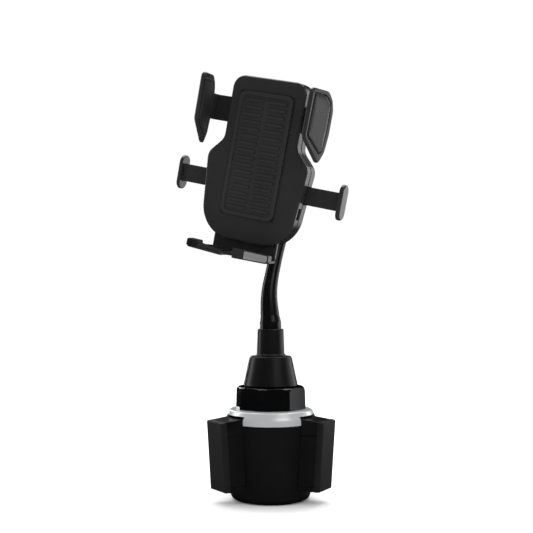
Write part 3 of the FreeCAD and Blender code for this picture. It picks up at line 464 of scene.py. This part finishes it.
def sleeve_ring(run):
    """Round section of the sleeve at a distance along the neck."""
    point, direction = at_run(run)
    side = Vector((1, 0, 0))
    across = (side - direction * side.dot(direction)).normalized()
    other = direction.cross(across)
    return [point + across * x + other * y for x, y in circle(sleeve_radius(run), SLEEVE_SIDES)]


def sharp_caps(thing):
    """Keeps the flat end faces from bending the normals of the tube."""
    mesh = thing.data
    ends = [polygon for polygon in mesh.polygons if len(polygon.vertices) > 4]
    rims = {key for polygon in ends for key in polygon.edge_keys}
    for edge in mesh.edges:
        edge.use_edge_sharp = edge.key in rims


def make_sleeves():
    """One smooth rubber sleeve in four stretches, each reaching across one hinge."""
    marks = [nearest_run(p) for p in STATIONS]
    ends = [0.0] + [(a + b) / 2 for a, b in zip(marks, marks[1:])] + [NECK_RUN[-1] - SLEEVE_END_GAP]
    for index, mark in enumerate(marks):
        start, end = ends[index], ends[index + 1]
        count = max(int((end - start) / SLEEVE_STEP), 8)
        work = Build()
        work.loft([sleeve_ring(start + (end - start) * step / count) for step in range(count + 1)])
        sleeve = new_object(f"neck_sleeve_skin_{index + 1}", work.vertices, work.faces)
        sharp_caps(sleeve)
        dress(sleeve, "sleeve_rubber")
        replaced = [f"neck_sleeve_{index}"] if index < 3 else ["neck_sleeve_3", "neck_sleeve_4"]
        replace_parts(sleeve, *replaced)
        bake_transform(sleeve)


# ---------------------------------------------------------------- fins
# In each fin's own frame: x outwards from the base's axis, y across the fin and z up.
FIN_SIDES = ("back", "left", "right")
FIN_BOTTOM = 9.6
PAD_HALF, PAD_CORNER, PAD_CROWN = 11.65, 1.9, 0.35
PAD_REACH, PAD_REACH_RISE = 44.3, 3.4  # outer face at the foot, and how much further out it is at the top
PAD_INNER, PAD_INNER_RISE = 40.0, 3.5
PAD_TOP_OUTER, PAD_TOP_INNER = 58.5, 59.25
PAD_LEVELS = 10
BODY_WIDE, BODY_WAIST = (11.3, 22.0), (10.5, 22.8)  # half width and inner face, outside and in the grooves
BODY_GROOVES, GROOVE_HEIGHT = (12.6, 48.6), 1.0
BODY_TOP, BODY_TOP_INNER, BODY_TOP_SLOPE = 61.0, 61.6, 3.1 / 26.0
BODY_SLOPE_HEIGHT, BODY_REACH_MOST, BODY_GAP = 48.4, 43.45, 0.05
PIN_RADIUS, PIN_PLACE, PIN_BOTTOM, PIN_TOP = 1.5, 25.5, 60.5, 63.7


def fin_matrix(side):
    axis = Vector(JOINTS[f"fin_{side}_slide"]["axis"])
    return Matrix.Rotation(math.atan2(axis.y, axis.x), 4, "Z")


def pad_section(reach, inner):
    """Plan outline of the outer pad: rounded corners and a slightly crowned face."""
    corners = rounded([
        (inner, -PAD_HALF, 0.4), (reach, -PAD_HALF, PAD_CORNER),
        (reach, PAD_HALF, PAD_CORNER), (inner, PAD_HALF, 0.4),
    ])
    return [(x + PAD_CROWN * (1 - (y / PAD_HALF) ** 2) if x > inner + 1 else x, y) for x, y in corners]


def make_fin_pad(side, matrix):
    """Soft outer pad, wider in reach at the top, with a top that falls outwards."""
    rings = []
    for level in range(PAD_LEVELS + 1):
        share = level / PAD_LEVELS
        reach = PAD_REACH + PAD_REACH_RISE * share
        inner = PAD_INNER + PAD_INNER_RISE * share
        ring = []
        for x, y in pad_section(reach, inner):
            top = PAD_TOP_INNER + (PAD_TOP_OUTER - PAD_TOP_INNER) * (x - inner) / (reach - inner)
            ring.append(Vector((x, y, FIN_BOTTOM + (top - FIN_BOTTOM) * share)))
        rings.append(ring)
    work = Build()
    work.loft(rings)
    soft_piece(f"fin_grip_{side}", work, "rubber_black", f"fin_{side}", f"fin_pad_{side}", 0.9, matrix)


def body_section(z, half, inner, sloping=False):
    """Rectangle of the fin's body at a height, or of its sloping top."""
    rise = PAD_INNER_RISE * (z - FIN_BOTTOM) / BODY_SLOPE_HEIGHT
    reach = min(PAD_INNER + rise, BODY_REACH_MOST) - BODY_GAP
    outline = [(inner, -half), (reach, -half), (reach, half), (inner, half)]
    if sloping:
        return [Vector((x, y, BODY_TOP_INNER - (x - BODY_WIDE[1]) * BODY_TOP_SLOPE)) for x, y in outline]
    return flat_ring(outline, z)


def make_fin_body(side, matrix):
    """Fin body: a grooved block with a sloping top, and its drive pin."""
    rings = [body_section(FIN_BOTTOM, *BODY_WIDE)]
    for z in BODY_GROOVES:
        rings += [body_section(z, *BODY_WIDE), body_section(z, *BODY_WAIST)]
        rings += [body_section(z + GROOVE_HEIGHT, *BODY_WAIST), body_section(z + GROOVE_HEIGHT, *BODY_WIDE)]
    rings.append(body_section(BODY_TOP, *BODY_WIDE, sloping=True))
    work = Build()
    work.loft(rings)
    work.slab(circle(PIN_RADIUS, 24, (PIN_PLACE, 0.0)), PIN_BOTTOM, PIN_TOP)
    soft_piece(f"fin_body_{side}", work, "satin_black", f"fin_{side}", f"fin_carrier_{side}", 0.35, matrix)


def make_fins():
    for side in FIN_SIDES:
        matrix = fin_matrix(side)
        make_fin_pad(side, matrix)
        make_fin_body(side, matrix)


# ---------------------------------------------------------------- silver ring
# Radius and height round the ring's section: up the outside, over the top and down the inside.
RING_SECTION = [
    (33.2, 55.8), (33.2, 59.6), (32.05, 62.0), (30.7, 64.8), (28.8, 65.7), (24.0, 65.7),
    (24.0, 64.5), (28.4, 64.5), (30.45, 62.0), (31.6, 59.6), (31.6, 55.8),
]
NOTCH_ROOF, NOTCH_ROOF_INSIDE = 2, 8  # rows of the section where a notch ends, outside and inside
NOTCH_HALF = 11.95
NOTCH_STEPS, BETWEEN_STEPS = 10, 44


def ring_columns(fins):
    """Fin angle, part and share of that part for each step round the ring."""
    columns = []
    for fin in fins:
        for part, steps in (("out", NOTCH_STEPS), ("across", BETWEEN_STEPS), ("in", NOTCH_STEPS)):
            columns += [(fin, part, step / steps) for step in range(steps)]
    return columns


def ring_angle(column, radius):
    """Angle of a column at a radius: the flanks of a notch are parallel to its fin."""
    fin, part, share = column
    third = FULL_TURN / 3
    edge = math.asin(NOTCH_HALF / radius)
    if part == "out":
        return fin + edge * share
    if part == "across":
        return fin + edge + (third - 2 * edge) * share
    return fin + third - edge + edge * share


def make_ring():
    """Silver ring: one turned band with three notches."""
    rows = list(range(len(RING_SECTION)))
    skirt = [row for row in rows if row <= NOTCH_ROOF or row >= NOTCH_ROOF_INSIDE]
    crown = rows[NOTCH_ROOF:NOTCH_ROOF_INSIDE + 1]
    axes = [Vector(JOINTS[f"fin_{side}_slide"]["axis"]) for side in FIN_SIDES]
    columns = ring_columns(sorted(math.atan2(axis.y, axis.x) % FULL_TURN for axis in axes))
    work = Build()
    made = {}

    def corner(column, row):
        column %= len(columns)
        if (column, row) not in made:
            radius, height = RING_SECTION[row]
            angle = ring_angle(columns[column], radius)
            made[column, row] = work.ring([(radius * math.cos(angle), radius * math.sin(angle), height)])[0]
        return made[column, row]

    for column, (_, part, share) in enumerate(columns):
        loop = rows if part == "across" else crown
        for row, following in zip(loop, loop[1:] + loop[:1]):
            work.cap((
                corner(column, row), corner(column + 1, row),
                corner(column + 1, following), corner(column, following),
            ))
        if share == 0 and part != "out":
            work.cap(corner(column, row) for row in skirt)
    soft_piece("ring_band", work, "silver", "base", "trim_ring", 0.3)


# ---------------------------------------------------------------- arms
# Corners (up the wall, along the wall, radius) of the arm's wall, of its outer inlay and of its inner lining.
ARM_CORNERS = [
    (53.9, 31.0, 3.2), (20.7, 31.0, 4.5), (4.8, 9.9, 2.6), (13.0, 4.6, 8.0),
    (26.0, 2.3, 20.0), (42.5, 2.5, 9.0), (49.6, 5.8, 4.0), (54.1, 11.0, 5.0),
]
PANEL_CORNERS = [
    (50.6, 27.4, 1.2), (23.0, 28.0, 3.0), (12.4, 11.0, 1.6), (14.4, 8.4, 1.4),
    (26.0, 6.8, 14.0), (38.2, 6.6, 12.0), (46.4, 7.6, 3.0), (50.4, 13.4, 5.0),
]
LINING_CORNERS = [
    (50.4, 29.2, 1.6), (21.6, 29.2, 3.5), (12.0, 15.6, 2.0), (11.6, 10.6, 1.5),
    (26.0, 9.2, 12.0), (46.4, 8.4, 2.5), (50.9, 13.4, 2.0),
]
ARM_LEAN = math.radians(11.3)
ARM_BACK_REACH, ARM_BACK = 48.6, -10.0
ARM_THICKNESS = 3.0
# Depth below the wall's outer face and inset from the corners, ring by ring from inside to outside.
WALL_RINGS = ((ARM_THICKNESS, 0.5), (ARM_THICKNESS - 0.6, 0.0), (0.9, 0.0), (0.0, 0.9))
RECESS_RINGS = ((0.25, -0.8), (1.5, -0.7))
INLAY_RINGS = ((1.2, 0.0), (0.35, 0.0), (-0.1, 1.2), (-0.35, 6.0))
LINING_RINGS = (
    (ARM_THICKNESS, 0.0), (ARM_THICKNESS + 1.4, 0.3), (ARM_THICKNESS + 1.4, 1.6), (ARM_THICKNESS + 1.0, 2.2),
)
# Sliding plates, each as boxes from lowest to highest corner: beside the arm, then the leg to the lever.
PLATE_REACH = 46.4
PLATES = {
    "right": [((-17.3, 24, -6), (PLATE_REACH, 42, -4.5)), ((-17.3, -11, -6), (-4, 24.2, -4.5))],
    "left": [
        ((-PLATE_REACH, 24, -13.6), (17.3, 42, -12.1)),
        ((14.9, -10.9, -13.6), (17.3, 24.2, -12.1)),
        ((-PLATE_REACH, 24, -13.6), (3 - PLATE_REACH, 42, -4)),
    ],
}


def arm_point(side, depth, y, z):
    """From the wall's own frame (depth below its outer face, up, along the wall) to the cradle's."""
    x = -depth * math.cos(ARM_LEAN) - z * math.sin(ARM_LEAN)
    along = -depth * math.sin(ARM_LEAN) + z * math.cos(ARM_LEAN)
    return Vector((side * (ARM_BACK_REACH + x), y, ARM_BACK + along))


def arm_rings(side, corners, steps):
    """One ring of the wall's frame for each depth and inset."""
    outline = rounded(corners)
    middle = sum(outline, Vector((0, 0))) / len(outline)
    rings = []
    for depth, inset in steps:
        inner = [p + (middle - p).normalized() * inset for p in outline]
        rings.append([arm_point(side, depth, p.x, p.y) for p in inner])
    return rings


def make_arms():
    """Each arm: a leaning wall with its sliding plate, a glossy inlay outside and a matt lining inside."""
    for side, word in ((1, "right"), (-1, "left")):
        wall, inlay, lining = Build(), Build(), Build()
        wall.loft(arm_rings(side, ARM_CORNERS, WALL_RINGS) + arm_rings(side, PANEL_CORNERS, RECESS_RINGS))
        for low, high in PLATES[word]:
            wall.box(low, high)
        inlay.loft(arm_rings(side, PANEL_CORNERS, INLAY_RINGS))
        lining.loft(arm_rings(side, LINING_CORNERS, LINING_RINGS))
        # The wall, inlay and lining take lighter copies of their slots' finishes: painted light for the
        # cradle.
        for name, work, slot, node, edge, finish in (
            ("wall", wall, "satin_black", f"{word}_arm", 0.3, "cradle_black_painted_light"),
            ("inlay", inlay, "gloss_black", f"{word}_arm_panel", 0.25, "panel_black_painted_light"),
            ("lining", lining, "rubber_black", f"{word}_arm_pad", 0.25, "lining_rubber_painted_light"),
        ):
            soft_piece(f"{word}_arm_{name}", work, slot, f"{word}_slider", node, edge, CRADLE, finish=finish)


# ---------------------------------------------------------------- cradle face
FACE_HALF, FACE_LOW, FACE_HIGH, FACE_CORNER = 20.9, -39.9, 46.9, 5.0
FACE_BORDER, FACE_BORDER_CORNER = 2.7, 3.4
FACE_BACK, FACE_FLOOR = -2.3, -0.9
RIB_ROWS, RIB_FIRST, RIB_SPAN = 16, -34.0, 75.0
RIB_NEAR, RIB_FAR, RIB_HALF = 1.6, 16.2, 1.0  # from the plain middle strip outwards, and half a rib's height
RIB_FOOT, RIB_TOP = -1.0, -0.05


def face_outline(inset, radius):
    half, low, high = FACE_HALF - inset, FACE_LOW + inset, FACE_HIGH - inset
    return rounded([(half, high, radius), (-half, high, radius), (-half, low, radius), (half, low, radius)])


def make_face_pad():
    """Rubber face: a framed sheet with rows of raised ribs that stop short of a plain middle strip."""
    outer, inner = face_outline(0.0, FACE_CORNER), face_outline(FACE_BORDER, FACE_BORDER_CORNER)
    work = Build()
    work.loft([
        flat_ring(outer, FACE_BACK), flat_ring(outer, 0.0),
        flat_ring(inner, 0.0), flat_ring(inner, FACE_FLOOR),
    ])
    for row in range(RIB_ROWS):
        y = RIB_FIRST + RIB_SPAN * row / (RIB_ROWS - 1)
        low, high = y - RIB_HALF, y + RIB_HALF
        for sign in (1, -1):
            near, far = sign * RIB_NEAR, sign * RIB_FAR
            rib = [(near, low, 0.6), (far, low, 0.9), (far, high, 0.9), (near, high, 0.6)]
            work.slab(rounded(rib, 4), RIB_FOOT, RIB_TOP)
    # The face takes the lighter copy of black rubber: painted light for the cradle.
    soft_piece(
        "face_rubber", work, "rubber_black", "cradle", "face_pad", 0.3, CRADLE, finish="lining_rubber_painted_light",
    )


# ---------------------------------------------------------------- foot
FOOT_HALF, FOOT_BACK, FOOT_FRONT = 32.0, -9.0, 19.5
FOOT_LOW, FOOT_SHELF, TOE_TOP = -67.5, -64.5, -60.5
TONGUE_HALF, TONGUE_FRONT, TONGUE_TOP = 25.0, -6.5, -30.0
CABLE_NOTCH_HALF, CABLE_NOTCH_BACK = 4.0, 9.0
TOE_BACK, TOE_ROOT, LEFT_TOE_END = 14.0, FOOT_SHELF - 1.2, -22.0
SHELF_SHOULDER = FOOT_FRONT - 12
LIP_STEPS, LIP_RISE, LIP_LOW, LIP_FALL, LIP_THICKNESS = 14, 3.2, 0.2, 1.8, 1.6
UNDERSIDE_FLAT, UNDERSIDE_RUN, UNDERSIDE_RISE = 20.0, 12.0, 1.3


def lifted(x):
    """How far the underside of the foot rises towards its ends."""
    beyond = max(abs(x) - UNDERSIDE_FLAT, 0) / UNDERSIDE_RUN
    return UNDERSIDE_RISE * beyond ** 2


def shelf_outline():
    """Plan of the shelf, from above: rounded front corners and the cable notch."""
    return rounded([
        (-TONGUE_HALF, FOOT_BACK, 1.5), (-FOOT_HALF, SHELF_SHOULDER, 4.0), (-FOOT_HALF, FOOT_FRONT, 3.2),
        (-CABLE_NOTCH_HALF, FOOT_FRONT, 1.6), (-CABLE_NOTCH_HALF, CABLE_NOTCH_BACK, 1.8),
        (CABLE_NOTCH_HALF, CABLE_NOTCH_BACK, 1.8), (CABLE_NOTCH_HALF, FOOT_FRONT, 1.6),
        (FOOT_HALF, FOOT_FRONT, 3.2), (FOOT_HALF, SHELF_SHOULDER, 4.0), (TONGUE_HALF, FOOT_BACK, 1.5),
    ])


def lip_outline():
    """Front view of the lip that falls from the left toe to the notch."""
    start, end = LEFT_TOE_END - 0.3, -CABLE_NOTCH_HALF - 0.3
    shares = [step / LIP_STEPS for step in range(LIP_STEPS + 1)]
    crest = [
        (start + (end - start) * share, FOOT_SHELF + LIP_LOW + LIP_RISE * (1 - share) ** LIP_FALL)
        for share in shares
    ]
    return crest + [(end, TOE_ROOT), (start, TOE_ROOT)]


def make_foot():
    """Foot bracket: tongue, shelf, a long right toe, and a short left toe with a falling lip."""
    work = Build()
    tongue = rounded([
        (TONGUE_HALF, FOOT_SHELF - 1, 0.5), (TONGUE_HALF, TONGUE_TOP, 2.0),
        (-TONGUE_HALF, TONGUE_TOP, 2.0), (-TONGUE_HALF, FOOT_SHELF - 1, 0.5),
    ])
    work.slab(tongue, FOOT_BACK, TONGUE_FRONT)
    plan = shelf_outline()
    work.loft([
        [Vector((p.x, FOOT_SHELF, p.y)) for p in plan],
        [Vector((p.x, FOOT_LOW + lifted(p.x), p.y)) for p in plan],
    ])
    right_start = CABLE_NOTCH_HALF + 0.2
    right_toe = rounded([
        (right_start, TOE_ROOT, 0.4), (FOOT_HALF, TOE_ROOT, 0.8),
        (FOOT_HALF, TOE_TOP, 1.8), (right_start, TOE_TOP, 1.2),
    ])
    left_toe = rounded([
        (-FOOT_HALF, TOE_ROOT, 0.8), (-FOOT_HALF, TOE_TOP, 1.8),
        (LEFT_TOE_END, TOE_TOP, 1.0), (LEFT_TOE_END, TOE_ROOT, 0.3),
    ])
    work.slab(right_toe, TOE_BACK, FOOT_FRONT)
    work.slab(left_toe, TOE_BACK, FOOT_FRONT)
    work.slab(lip_outline(), FOOT_FRONT - LIP_THICKNESS, FOOT_FRONT)
    # The foot takes the lighter copy of satin black: painted light for the cradle.
    soft_piece(
        "foot_step", work, "satin_black", "foot", "foot_bracket", 0.45, CRADLE, finish="cradle_black_painted_light",
    )


# Left and right end of each toe's rubber, and its finish.
TOE_GRIPS = {"right": (13.6, 31.0, "pad_grey"), "left": (-31.0, -23.0, "rubber_black")}
GRIP_LOW, GRIP_RISE, GRIP_HIGH, GRIP_BACK, GRIP_FRONT = -66.4, 0.8, -61.2, 18.7, 19.75
GRIP_RIBS, GRIP_RIB_FIRST, GRIP_RIB_SPAN, GRIP_RIB_HALF = 8, -65.3, 3.6, 0.14
GRIP_RIB_BACK, GRIP_RIB_FRONT, GRIP_RIB_INSET = 19.6, 19.95, 0.6


def make_foot_grips():
    """Ribbed rubber faces on the foot's two toes: light grey on the right, black on the left."""
    for word, (start, end, slot) in TOE_GRIPS.items():
        work = Build()
        plate = rounded([
            (start, GRIP_LOW, 0.6), (end, GRIP_LOW + GRIP_RISE, 1.6),
            (end, GRIP_HIGH, 0.8), (start, GRIP_HIGH, 0.6),
        ])
        work.slab(plate, GRIP_BACK, GRIP_FRONT)
        for rib in range(GRIP_RIBS):
            y = GRIP_RIB_FIRST + GRIP_RIB_SPAN * rib / (GRIP_RIBS - 1)
            work.box(
                (start + GRIP_RIB_INSET, y - GRIP_RIB_HALF, GRIP_RIB_BACK),
                (end - GRIP_RIB_INSET, y + GRIP_RIB_HALF, GRIP_RIB_FRONT),
            )
        soft_piece(f"foot_toe_{word}", work, slot, "foot", f"foot_grip_{word}", 0.1, CRADLE, segments=2)


# ---------------------------------------------------------------- carried-over nodes
# Rounded edges of the carried-over nodes, in millimetres, and the finishes that differ from their slots.
EDGE_WIDTHS = {
    "cup_body": 0.5, "adjust_knob": 0.6, "neck_cone": 0.5, "neck_collar": 0.4,
    "back_shell": 0.35, "front_shell": 0.35, "right_lever": 0.45, "left_lever": 0.45,
    "lock_nut": 0.4, "end_ferrule": 0.3, "foot_pad": 0.3, "base_cover": 0.2, "ball_stud": 0.2,
    "shell_screws": 0.15,
}
# The cradle's nodes take the lighter copy of satin black: painted light for the cradle.
CRADLE_NODES = ("front_shell", "back_shell", "right_lever", "left_lever", "lock_nut")
CAD_FINISH = {"neck_collar": "satin_black", **{name: "cradle_black_painted_light" for name in CRADLE_NODES}}


def dress_cad():
    standing = {name for thing in bpy.context.scene.objects for name in thing.get("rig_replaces", [])}
    for name in NODES:
        if name not in standing:
            finish_cad(name, EDGE_WIDTHS.get(name, 0) * MM)


# ---------------------------------------------------------------- studio
FLOOR_RADIUS, FLOOR_DROP, FLOOR_SIDES = 9.0, 0.2 * MM, 96
LIGHT_TARGET = (0, 0, 0.17)
# Place, width and height, and power of each soft light.
LIGHTS = {
    "left_softbox": ((-0.94, 0.34, 0.42), (0.35, 1.1), 2.4),
    "right_softbox": ((0.80, 0.62, 0.40), (0.35, 1.1), 2.1),
    "right_strip": ((1.0, 0.18, 0.14), (0.3, 0.4), 0.5),
    "rim_strip": ((-0.45, 1.15, 0.40), (0.22, 0.8), 2.5),
    "top_softbox": ((0.0, 0.30, 1.15), (1.1, 1.0), 9.0),
    "front_fill": ((0.75, -1.1, 0.85), (0.9, 0.5), 1.5),
}
CAMERA_PLACE = Vector((-2.96, -704.0, 145.25)) * MM
CAMERA_LENS, CAMERA_TILT = 64.2, 2.02


def make_floor():
    """Wide, pale, round floor just under the base; it doesn't show in reflections."""
    work = Build()
    work.cap(work.ring(flat_ring(circle(FLOOR_RADIUS, FLOOR_SIDES), -FLOOR_DROP)))
    floor = new_object("studio_floor", work.vertices, work.faces)
    material, nodes, links, shader = new_material("studio_white")
    place = nodes.new("ShaderNodeTexCoord").outputs["Object"]
    links.new(spread(nodes, links, noise(nodes, links, place, 8.0), 0.86, 0.94), shader.inputs["Roughness"])
    shader.inputs["Base Color"].default_value = (1.0, 1.0, 1.0, 1)
    shader.inputs["Specular IOR Level"].default_value = 0.0
    floor.data.materials.append(material)
    floor.visible_glossy = False


def make_lights():
    for name, (place, size, power) in LIGHTS.items():
        light = bpy.data.lights.new(name, "AREA")
        light.shape = "RECTANGLE"
        light.size, light.size_y = size
        light.energy = power
        lamp = bpy.data.objects.new(name, light)
        lamp.location = place
        lamp.rotation_euler = (Vector(LIGHT_TARGET) - Vector(place)).to_track_quat("-Z", "Y").to_euler()
        bpy.context.scene.collection.objects.link(lamp)


def make_world():
    """White surroundings that light the object but don't show in its reflections."""
    world = bpy.data.worlds.new("studio")
    world.use_nodes = True
    bpy.context.scene.world = world
    background = world.node_tree.nodes["Background"]
    background.inputs["Color"].default_value = (1, 1, 1, 1)
    background.inputs["Strength"].default_value = 1.0
    world.cycles_visibility.glossy = False


def make_camera():
    """Long lens just above the collar's height, looking along +Y and tilted up a little."""
    camera = bpy.data.cameras.new("camera")
    camera.sensor_width = 36.0
    camera.lens = CAMERA_LENS
    holder = bpy.data.objects.new("camera", camera)
    holder.location = CAMERA_PLACE
    holder.rotation_euler = (math.radians(90 + CAMERA_TILT), 0, 0)
    bpy.context.scene.collection.objects.link(holder)
    bpy.context.scene.camera = holder


make_sleeves()
make_fins()
make_ring()
make_arms()
make_face_pad()
make_foot()
make_foot_grips()
dress_cad()
make_floor()
make_lights()
make_world()
make_camera()
bpy.context.scene.view_settings.view_transform = "Standard"
